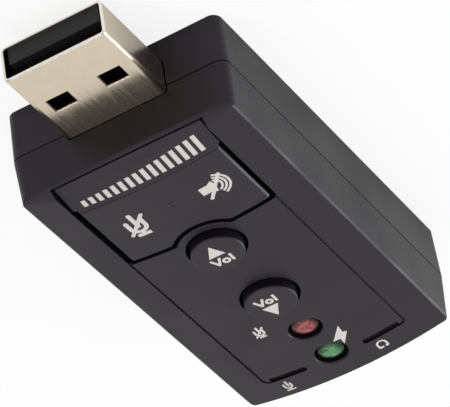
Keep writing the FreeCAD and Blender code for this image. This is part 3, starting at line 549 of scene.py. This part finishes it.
def print_on(piece, name, node, body, spot, sizes, scale=1.0, turn=0.0):
    """Lays a flat sign on its carrier, at a spot in millimetres: it reads along -Y."""
    colour = bpy.context.scene.soundcard_colours.ink
    ink = bpy.data.materials.get("white_pad_ink") or pad_ink("white_pad_ink", colour)
    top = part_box(node)[1].z
    piece.matrix_world = (Matrix.Translation((spot[0] * MM, spot[1] * MM, top + PRINT_LIFT))
                          @ Matrix.Rotation(turn - math.pi / 2, 4, "Z")
                          @ Matrix.Diagonal((scale, scale, 1.0, 1.0)))
    only(piece)
    fix_place()
    across = [vertex.co.y for vertex in piece.data.vertices]
    cuts = int((max(across) - min(across)) / sizes.cut_spacing)
    # Only the upper face is kept, and cut across so that it can bend.
    open_part(piece, "polygons", lambda mesh, face: not faces_up(mesh, face))
    bpy.ops.mesh.delete(type="FACE")
    bpy.ops.mesh.select_all(action="SELECT")
    bpy.ops.mesh.quads_convert_to_tris()
    for index in range(cuts):
        place = (0, min(across) + (index + 0.5) * sizes.cut_spacing, 0)
        bpy.ops.mesh.select_all(action="SELECT")
        bpy.ops.mesh.bisect(plane_co=place, plane_no=(0, 1, 0))
    close_part()
    lay = piece.modifiers.new("lay", "SHRINKWRAP")
    lay.wrap_method = "PROJECT"
    lay.wrap_mode = "ON_SURFACE"
    lay.use_project_z = True
    lay.use_positive_direction = False
    lay.use_negative_direction = True
    lay.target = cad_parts[node]
    only(piece)
    bpy.ops.object.modifier_apply(modifier="lay")
    if max(vertex.co.z for vertex in piece.data.vertices) > top + sizes.ink_thickness:
        raise RuntimeError(f"{name}: part of the print misses {node}")
    film = piece.modifiers.new("film", "SOLIDIFY")
    film.thickness = sizes.ink_thickness
    film.offset = 1.0
    bpy.ops.object.modifier_apply(modifier="film")
    settle(piece, name, body, ink)


def in_mm(*points):
    """Gives points that are written in millimetres in metres."""
    return [(x * MM, y * MM) for x, y in points]


def add_stroke(piece, start, end, width, thick, rounding=1.0):
    """Joins a flat bar between two points, written in millimetres, to a piece."""
    return combine(piece, flat_stroke(*in_mm(start, end), width, thick, rounding))


def microphone_sign(stroke, thick, muted):
    """A capsule in its holder on a foot, drawn 4.1 mm high, with a bar across it for off."""
    piece = flat_stroke(*in_mm((0.05, 1.8), (0.05, -0.3)), stroke, thick)
    combine(piece, flat_arc((-0.05 * MM, -0.35 * MM), 0.87 * MM, stroke, thick,
                            math.pi, math.pi + HALF_TURN))
    for side in (-0.92, 0.82):
        add_stroke(piece, (side, 0.72), (side, -0.4), stroke, thick)
    reach, foot = (0.72, -1.8) if muted else (1.12, -2.02)
    add_stroke(piece, (-0.05, -1.15), (-0.05, foot), stroke, thick, 0.0)
    add_stroke(piece, (-0.06 - reach, foot), (-0.06 + reach, foot), stroke, thick, 0.3)
    if muted:
        add_stroke(piece, (-1.3, -1.48), (1.25, 1.3), stroke * 0.86, thick)
    return piece


def speaker_off_sign(stroke, thick):
    """A loudspeaker with three arcs of sound and a bar across them, drawn 3.2 mm wide."""
    cone = in_mm((-1.52, -0.43), (-0.7, -0.43), (0.1, -0.78), (0.3, 0.2), (0.15, 1.2),
                 (-0.5, 0.82), (-1.52, 0.82))
    piece = flat_outline(cone, thick)
    span = math.radians(69)
    for radius in (0.94, 1.36, 1.78):
        combine(piece, flat_arc((0, 0.18 * MM), radius * MM, stroke * 0.52, thick, -span, span))
    return add_stroke(piece, (-1.05, -1.36), (1.33, 1.57), stroke * 0.8, thick)


def headphone_sign(stroke, thick):
    """A head band with two ear pads, drawn 4.1 mm high."""
    piece = flat_arc((0, 0.45 * MM), 1.12 * MM, stroke, thick, 0.0, HALF_TURN)
    foot = -0.95
    for side, inner in ((-1.12, -0.22), (1.12, 0.6)):
        add_stroke(piece, (side, 0.5), (side, foot), stroke, thick, 0.0)
        add_stroke(piece, (side * 0.95, foot), (inner, foot), stroke * 1.3, thick, 0.6)
    return piece


def mirror_cup(place, radius, depth):
    """A cup with sloping walls on a stem, placed by the middle of its rim."""
    height, stem = 0.7 * MM, 1.6 * MM
    wall_share, floor_share, stem_share = 0.15, 0.45, 0.45
    deselect()
    bpy.ops.mesh.primitive_cylinder_add(vertices=32, radius=radius, depth=height,
                                        location=place - Vector((0, 0, height / 2)))
    piece = fix_place()
    open_part(piece, "polygons", faces_up)
    bpy.ops.mesh.inset(thickness=radius * wall_share)
    draw_out(-depth)
    bpy.ops.transform.resize(value=(floor_share, floor_share, 1.0),
                             center_override=place - Vector((0, 0, depth)))
    close_part()
    open_part(piece, "polygons", faces_down)
    bpy.ops.mesh.inset(thickness=radius * stem_share)
    draw_out(-stem)
    close_part()
    smooth(piece)
    return piece


def cast_in_lamp(lens, radius, metal, chip, prefix):
    """The lead frame seen in a lamp: a cup with its chip, a post beside it and the bond wire."""
    rim_depth, cup_depth, post_gap, post_rise = 1.15 * MM, 0.4 * MM, 0.28 * MM, 0.2 * MM
    low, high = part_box(lens)
    rim = Vector(((low.x + high.x) / 2, (low.y + high.y) / 2, high.z - rim_depth))
    settle(mirror_cup(rim, radius, cup_depth), prefix + "_cup", HOUSING, metal)

    die_width, die_height = 0.26 * MM, 0.2 * MM
    die = block((die_width, die_width, die_height),
                rim + Vector((0, 0, die_height / 2 - cup_depth)))
    round_edges(die, every, 0.02 * MM, segments=2)
    settle(die, prefix + "_die", HOUSING, chip)

    post_extent = Vector((0.3 * MM, 0.5 * MM, 2.3 * MM))
    shoulder = rim + Vector((-radius - post_gap, 0, post_rise))
    post = block(post_extent, shoulder - Vector((0, 0, post_extent.z / 2)))
    open_part(post, "polygons", faces_up)
    bpy.ops.mesh.inset(thickness=0.06 * MM)
    draw_out(0.12 * MM)
    close_part()
    settle(post, prefix + "_post", HOUSING, metal)

    wire_foot = shoulder + Vector((0, 0, 0.1 * MM))
    deselect()
    bpy.ops.mesh.primitive_circle_add(vertices=8, radius=0.03 * MM, fill_type="NGON",
                                      location=wire_foot)
    wire = fix_place()
    open_part(wire, "polygons", every)
    bpy.ops.mesh.spin(steps=12, angle=math.pi, axis=(0, 1, 0),
                      center=wire_foot + Vector(((rim.x - shoulder.x) / 2, 0, 0)))
    weld()
    settle(wire, prefix + "_bond_wire", HOUSING, metal)


# Operators

class SOUNDCARD_OT_finish_housing(bpy.types.Operator):
    """Gives both halves of the housing their moulded finish, with painted edge highlights and
    painted shade in the parting line
    """

    bl_idname = "soundcard.finish_housing"
    bl_label = "Housing finish"

    def execute(self, context):
        colour = context.scene.soundcard_colours.housing
        dress(("upper_housing", "lower_housing"),
              moulded_abs("moulded_abs_housing", colour, face_roughness=0.5, wall_roughness=0.42,
                          sizes=context.scene.soundcard_sizes))
        return {"FINISHED"}


class SOUNDCARD_OT_finish_keys(bpy.types.Operator):
    """Gives the mute key and the volume keys their moulded finish, with painted edge highlights"""

    bl_idname = "soundcard.finish_keys"
    bl_label = "Key finish"

    def execute(self, context):
        colour = context.scene.soundcard_colours.keys
        dress(("mute_rocker", "volume_up_button", "volume_down_button"),
              moulded_abs("moulded_abs_keys", colour, face_roughness=0.46, wall_roughness=0.4,
                          sizes=context.scene.soundcard_sizes))
        return {"FINISHED"}


class SOUNDCARD_OT_finish_plug(bpy.types.Operator):
    """Gives the plug its plated shell, its nylon tongue and its gold contacts"""

    bl_idname = "soundcard.finish_plug"
    bl_label = "Plug finish"

    def execute(self, context):
        nickel = context.scene.soundcard_colours.nickel
        # Painted highlight: a thin band of the shell at the mouth is painted paler.
        lip_highlight_width = 0.11 * MM
        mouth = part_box("usb_plug_shell")[1].x - lip_highlight_width
        dress(("usb_plug_shell",),
              plated_metal("nickel_plated_steel", nickel, roughness=0.2, grain_length=6.0,
                           grain_width=0.12, lip_highlight_from=mouth))
        dress(("usb_plug_insulator",), moulded_nylon("moulded_nylon_tongue", linear("#18171b")))
        dress(("power_contact", "data_minus_contact", "data_plus_contact", "ground_contact"),
              plated_metal("gold_plated_bronze", linear("#d8a648"), roughness=0.22,
                           grain_length=3.0, grain_width=0.1))
        return {"FINISHED"}


class SOUNDCARD_OT_make_lamps(bpy.types.Operator):
    """Gives the lamps their tinted epoxy, with painted light and shade, and casts the cup, chip,
    post and wire into each
    """

    bl_idname = "soundcard.make_lamps"
    bl_label = "Lamps"

    def execute(self, context):
        colours = context.scene.soundcard_colours
        radius = context.scene.soundcard_sizes.lamp_cup_radius
        for name, tint in (("red", colours.red_lamp), ("green", colours.green_lamp)):
            lens = name + "_led_lens"
            dress((lens,), cast_epoxy(name + "_cast_epoxy", tint, lens))
        metal = plated_metal("silver_plated_lead_frame", linear("#e4e2de"), roughness=0.15,
                             grain_length=1.0, grain_width=0.08)
        dress(("red_led_leads", "green_led_leads"), metal)
        chip = speckled_solid("lamp_chip_crystal", linear("#c9b24a"), speck=0.1, roughness=0.3)
        for name in ("red", "green"):
            cast_in_lamp(name + "_led_lens", radius, metal, chip, name + "_led")
        return {"FINISHED"}


class SOUNDCARD_OT_finish_sockets(bpy.types.Operator):
    """Gives the two sockets their nylon bodies and plated springs"""

    bl_idname = "soundcard.finish_sockets"
    bl_label = "Socket finish"

    def execute(self, context):
        dress(("headphone_jack_body", "microphone_jack_body"),
              moulded_nylon("moulded_nylon_sockets", linear("#1f1e21")))
        dress(("headphone_jack_contacts", "microphone_jack_contacts"),
              plated_metal("tinned_bronze_springs", linear("#c9c7c2"), roughness=0.25,
                           grain_length=2.0, grain_width=0.1))
        return {"FINISHED"}


class SOUNDCARD_OT_finish_board(bpy.types.Operator):
    """Gives the circuit board and everything soldered to it their finishes"""

    bl_idname = "soundcard.finish_board"
    bl_label = "Board finish"

    def execute(self, context):
        lacquer = context.scene.soundcard_colours.board
        switches = ("volume_up", "volume_down", "microphone_mute", "speaker_mute")
        dress(("circuit_board",), lacquered_laminate("lacquered_glass_laminate", lacquer))
        dress([switch + "_switch_body" for switch in switches],
              moulded_nylon("moulded_nylon_switches", linear("#242326")))
        dress([switch + "_switch_plunger" for switch in switches],
              moulded_nylon("moulded_nylon_plungers", linear("#302e2c")))
        covers = [switch + "_switch_cover" for switch in switches]
        dress(covers + ["switch_terminals", "audio_chip_leads", "crystal_can"],
              plated_metal("tin_plated_steel", linear("#cfcdc8"), roughness=0.28,
                           grain_length=1.5, grain_width=0.1))
        for node, material, code, speck, roughness in (
                ("audio_chip", "moulded_epoxy_chip", "#252527", 0.12, 0.55),
                ("supply_capacitors", "moulded_epoxy_tantalum", "#c58a2d", 0.2, 0.4),
                ("chip_resistors", "glazed_alumina_resistors", "#2b2a2d", 0.1, 0.35),
                ("chip_capacitors", "fired_ceramic_capacitors", "#a58a68", 0.08, 0.4)):
            dress((node,), speckled_solid(material, linear(code), speck, roughness))
        return {"FINISHED"}


class SOUNDCARD_OT_print_mute_key(bpy.types.Operator):
    """Prints the two off signs and the level scale on the mute key, and leaves its gate's mark"""

    bl_idname = "soundcard.print_mute_key"
    bl_label = "Mute key print"

    def execute(self, context):
        sizes = context.scene.soundcard_sizes
        thick, stroke = sizes.ink_thickness, sizes.stroke_width
        scale = sizes.mute_sign_height / SIGN_UNIT
        print_on(microphone_sign(stroke, thick, True), "microphone_off_sign", "mute_rocker",
                 "mute_rocker", (8.42, 4.54), sizes, scale)
        print_on(speaker_off_sign(stroke, thick), "speaker_off_sign", "mute_rocker",
                 "mute_rocker", (8.5, -4.9), sizes, scale)
        self.gate_mark(sizes.gate_ring_radius)
        print_on(self.level_scale(sizes), "level_scale", "mute_rocker", "mute_rocker",
                 (13.95, 0.05), sizes)
        return {"FINISHED"}

    def gate_mark(self, radius):
        """The low ring that the mould's gate leaves in the middle of the key."""
        bead, sunk = 0.05 * MM, 0.02 * MM
        spot = Vector((9.1 * MM, -0.15 * MM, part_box("mute_rocker")[1].z - sunk))
        deselect()
        bpy.ops.mesh.primitive_circle_add(vertices=12, radius=bead, fill_type="NOTHING",
                                          location=spot + Vector((radius, 0, 0)),
                                          rotation=(math.pi / 2, 0, 0))
        piece = fix_place()
        open_part(piece, "edges", every)
        bpy.ops.mesh.spin(steps=32, angle=math.tau, center=spot, axis=(0, 0, 1))
        weld()
        smooth(piece)
        settle(piece, "gate_mark", "mute_rocker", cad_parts["mute_rocker"].data.materials[0])

    def level_scale(self, sizes):
        """A plain scale of rising bars for the slope at the key's front edge."""
        length, lowest, growth, bar_share = 14.0 * MM, 0.9 * MM, 1.5 * MM, 0.55
        pitch = length / (sizes.level_bars - 1)
        scale = None
        for index in range(sizes.level_bars):
            along = index * pitch - length / 2
            rise = lowest + growth * index / (sizes.level_bars - 1)
            bar = flat_stroke((along, 0), (along, rise), pitch * bar_share,
                              sizes.ink_thickness, 0.0)
            scale = combine(scale, bar) if scale else bar
        return scale


class SOUNDCARD_OT_print_volume_keys(bpy.types.Operator):
    """Prints the word and the triangle on each volume key"""

    bl_idname = "soundcard.print_volume_keys"
    bl_label = "Volume key print"

    def execute(self, context):
        sizes = context.scene.soundcard_sizes
        half = sizes.arrow_width / 2
        arrow = flat_outline(((-half, -half), (half, -half), (0, half)), sizes.ink_thickness)
        round_edges(arrow, is_upright, 0.05 * MM, segments=2)
        word = self.word(sizes)
        for key, word_spot, arrow_spot, turn in (
                ("volume_up", (-1.4, 0.15), (0.56, 0.2), 0.0),
                ("volume_down", (-10.7, 0.33), (-12.7, 0.37), math.pi)):
            carrier = key + "_button"
            print_on(copy_of(word), key + "_word", carrier, carrier, word_spot, sizes)
            print_on(copy_of(arrow), key + "_arrow", carrier, carrier, arrow_spot, sizes, turn=turn)
        bpy.data.objects.remove(word)
        bpy.data.objects.remove(arrow)
        return {"FINISHED"}

    def word(self, sizes):
        """The word on the volume keys, a capital and two small letters drawn as strokes."""
        bold, thick = sizes.legend_stroke, sizes.ink_thickness
        slant, snug, ring = 0.5 * MM, 0.14 * MM, sizes.legend_height * 0.23
        top, right = (sizes.legend_height - bold) / 2, (sizes.legend_length - bold) / 2
        foot, left = -top, -right
        dip, rise = left + slant, left + 2 * slant
        piece = flat_stroke((left, top), (dip, foot), bold, thick, 0.6)
        combine(piece, flat_stroke((dip, foot), (rise, top), bold, thick, 0.6))
        middle = ((rise + right) / 2 - snug, foot + ring)
        for low in (0.0, math.pi):
            combine(piece, flat_arc(middle, ring, bold, thick, low, low + HALF_TURN))
        return combine(piece, flat_stroke((right, top), (right, foot), bold, thick, 0.4))


class SOUNDCARD_OT_print_panel(bpy.types.Operator):
    """Prints the small signs beside the lamps and the sockets"""

    bl_idname = "soundcard.print_panel"
    bl_label = "Panel print"

    def execute(self, context):
        sizes = context.scene.soundcard_sizes
        thick, stroke = sizes.ink_thickness, sizes.stroke_width
        lamp_scale = sizes.lamp_sign_height / SIGN_UNIT
        socket_scale = sizes.socket_sign_height / SIGN_UNIT
        print_on(microphone_sign(stroke, thick, True), "microphone_off_lamp_sign",
                 "upper_housing", HOUSING, (-16.45, 4.25), sizes, lamp_scale)
        print_on(microphone_sign(stroke, thick, False), "microphone_socket_sign",
                 "upper_housing", HOUSING, (-27.55, 6.95), sizes, socket_scale)
        print_on(headphone_sign(stroke, thick), "headphone_socket_sign",
                 "upper_housing", HOUSING, (-27.55, -5.05), sizes, socket_scale)
        bolt = in_mm((0.73, 1.73), (-1.05, -0.48), (-0.17, -0.5), (-0.25, -1.6), (1.06, 0.25),
                     (0.6, 0.45))
        print_on(flat_outline(bolt, thick), "power_lamp_sign",
                 "upper_housing", HOUSING, (-22.76, -2.26), sizes)
        return {"FINISHED"}


class SOUNDCARD_OT_make_stage(bpy.types.Operator):
    """Sets up the pale floor, the white world, the soft lamps and the camera"""

    bl_idname = "soundcard.make_stage"
    bl_label = "Studio"

    def execute(self, context):
        self.make_floor(context.scene.soundcard_colours)
        self.make_world(context.scene)
        self.make_lamps()
        self.make_camera(context.scene)
        context.scene.view_settings.view_transform = "Standard"
        return {"FINISHED"}

    def ray_kinds(self, tree):
        """Gives 1 for rays from the camera, and 1 for rays that a gloss or epoxy sends on."""
        kinds = add_node(tree, "ShaderNodeLightPath").outputs
        sent_on = compute(tree, "MAXIMUM", kinds["Is Glossy Ray"], kinds["Is Transmission Ray"])
        return kinds["Is Camera Ray"], sent_on

    def mix_shaders(self, tree, share, first, second):
        """Mixes two shaders."""
        mixed = add_node(tree, "ShaderNodeMixShader", inputs={0: share, 1: first, 2: second})
        return mixed.outputs["Shader"]

    def make_floor(self, colours):
        """A pale sheet that keeps a soft shadow; its glow melts it into the white room."""
        radius, thickness = 1.5, 0.01
        glow_seen, glow_mirrored = 0.85, 0.13
        deselect()
        bpy.ops.mesh.primitive_circle_add(vertices=64, radius=radius, fill_type="NGON")
        floor = bpy.context.object
        open_part(floor, "polygons", every)
        draw_out(-thickness)
        close_part()
        floor.name = "floor"
        material, tree, _ = start_material("pale_paper_sweep")
        paper = add_node(tree, "ShaderNodeBsdfDiffuse", inputs={"Color": list(colours.backdrop)})
        glow = add_node(tree, "ShaderNodeEmission", inputs={"Color": WHITE, "Strength": 1.0})
        seen, sent_on = self.ray_kinds(tree)
        share = compute(tree, "MULTIPLY_ADD", seen, glow_seen,
                        compute(tree, "MULTIPLY", sent_on, glow_mirrored))
        mixed = self.mix_shaders(tree, share, paper.outputs["BSDF"], glow.outputs["Emission"])
        add_node(tree, "ShaderNodeOutputMaterial", inputs={"Surface": mixed})
        floor.data.materials.append(material)

    def make_world(self, scene):
        """A white room: dimmer as light than it looks."""
        world = bpy.data.worlds.new("white_room")
        world.use_nodes = True
        tree = world.node_tree
        tree.nodes.clear()
        # The wall behind the sockets is white, and the room is dimmer on the plug's side.
        way = add_node(tree, "ShaderNodeTexCoord").outputs["Generated"]
        depth = spread(tree, split(tree, way, "X"), 1.0, 0.3, start=-0.4, stop=0.6,
                       ease="SMOOTHSTEP")
        as_light, mirrored, seen_white = (
            add_node(tree, "ShaderNodeBackground", inputs={"Color": WHITE, "Strength": strength})
            for strength in (0.45, depth, 1.0))
        seen, sent_on = self.ray_kinds(tree)
        around = self.mix_shaders(tree, sent_on, as_light.outputs["Background"],
                                  mirrored.outputs["Background"])
        mixed = self.mix_shaders(tree, seen, around, seen_white.outputs["Background"])
        add_node(tree, "ShaderNodeOutputWorld", inputs={"Surface": mixed})
        scene.world = world

    def make_lamps(self):
        """Soft boxes over the keys, by the long wall, past the plug and low behind the far edge."""
        for name, spot, size, watts in (("soft_box_above", (0.07, 0.06, 0.5), 0.6, 1.25),
                                        ("soft_box_side", (-0.15, -0.45, 0.3), 0.25, 0.4),
                                        ("soft_box_plug", (0.27, 0.165, 0.39), 0.08, 0.22),
                                        ("soft_box_edge", (-0.36, -0.3, 0.17), 0.12, 0.9)):
            light = bpy.data.lights.new(name, "AREA")
            light.shape = "SQUARE"
            light.size = size
            light.energy = watts
            lamp = bpy.data.objects.new(name, light)
            lamp.location = spot
            lamp.rotation_euler = (-Vector(spot)).to_track_quat("-Z", "Y").to_euler()
            bpy.context.collection.objects.link(lamp)

    def make_camera(self, scene):
        """A long lens above the plug end, rolled so that the plug points up and left."""
        place = (0.2618037, -0.1218675, 0.2291975)
        azimuth, elevation, roll = 65.37429, 37.49382, 170.27162
        data = bpy.data.cameras.new("camera")
        data.sensor_fit = "HORIZONTAL"
        data.sensor_width = 36.0
        data.lens = 277.132
        data.clip_start = 0.01
        camera = bpy.data.objects.new("camera", data)
        camera.matrix_world = (Matrix.Translation(place)
                               @ Matrix.Rotation(math.radians(azimuth), 4, "Z")
                               @ Matrix.Rotation(math.radians(90 - elevation), 4, "X")
                               @ Matrix.Rotation(math.radians(roll), 4, "Z"))
        bpy.context.collection.objects.link(camera)
        scene.camera = camera


class SOUNDCARD_PT_panel(bpy.types.Panel):
    """Lists the steps that dress the sound card"""

    bl_idname = "SOUNDCARD_PT_panel"
    bl_label = "Sound card"
    bl_space_type = "VIEW_3D"
    bl_region_type = "UI"
    bl_category = "Sound card"

    def draw(self, context):
        """Shows a button for each step, then the sizes and the colours."""
        for step in STEPS:
            self.layout.operator(step.bl_idname)
        for group in (context.scene.soundcard_sizes, context.scene.soundcard_colours):
            for key in group.__annotations__:
                self.layout.prop(group, key)


STEPS = (SOUNDCARD_OT_finish_housing, SOUNDCARD_OT_finish_keys, SOUNDCARD_OT_finish_plug,
         SOUNDCARD_OT_make_lamps, SOUNDCARD_OT_finish_sockets, SOUNDCARD_OT_finish_board,
         SOUNDCARD_OT_print_mute_key, SOUNDCARD_OT_print_volume_keys, SOUNDCARD_OT_print_panel,
         SOUNDCARD_OT_make_stage)
CLASSES = (SoundcardSizes, SoundcardColours, *STEPS, SOUNDCARD_PT_panel)


def register():
    """Makes the classes and their settings known to Blender."""
    for item in CLASSES:
        bpy.utils.register_class(item)
    bpy.types.Scene.soundcard_sizes = bpy.props.PointerProperty(type=SoundcardSizes)
    bpy.types.Scene.soundcard_colours = bpy.props.PointerProperty(type=SoundcardColours)


def unregister():
    """Takes the settings and the classes away again."""
    del bpy.types.Scene.soundcard_colours
    del bpy.types.Scene.soundcard_sizes
    for item in reversed(CLASSES):
        bpy.utils.unregister_class(item)


def main():
    """Dresses the sound card step by step."""
    register()
    bpy.ops.soundcard.finish_housing()
    bpy.ops.soundcard.finish_keys()
    bpy.ops.soundcard.finish_plug()
    bpy.ops.soundcard.make_lamps()
    bpy.ops.soundcard.finish_sockets()
    bpy.ops.soundcard.finish_board()
    bpy.ops.soundcard.print_mute_key()
    bpy.ops.soundcard.print_volume_keys()
    bpy.ops.soundcard.print_panel()
    bpy.ops.soundcard.make_stage()


if __name__ == "__main__":
    main()
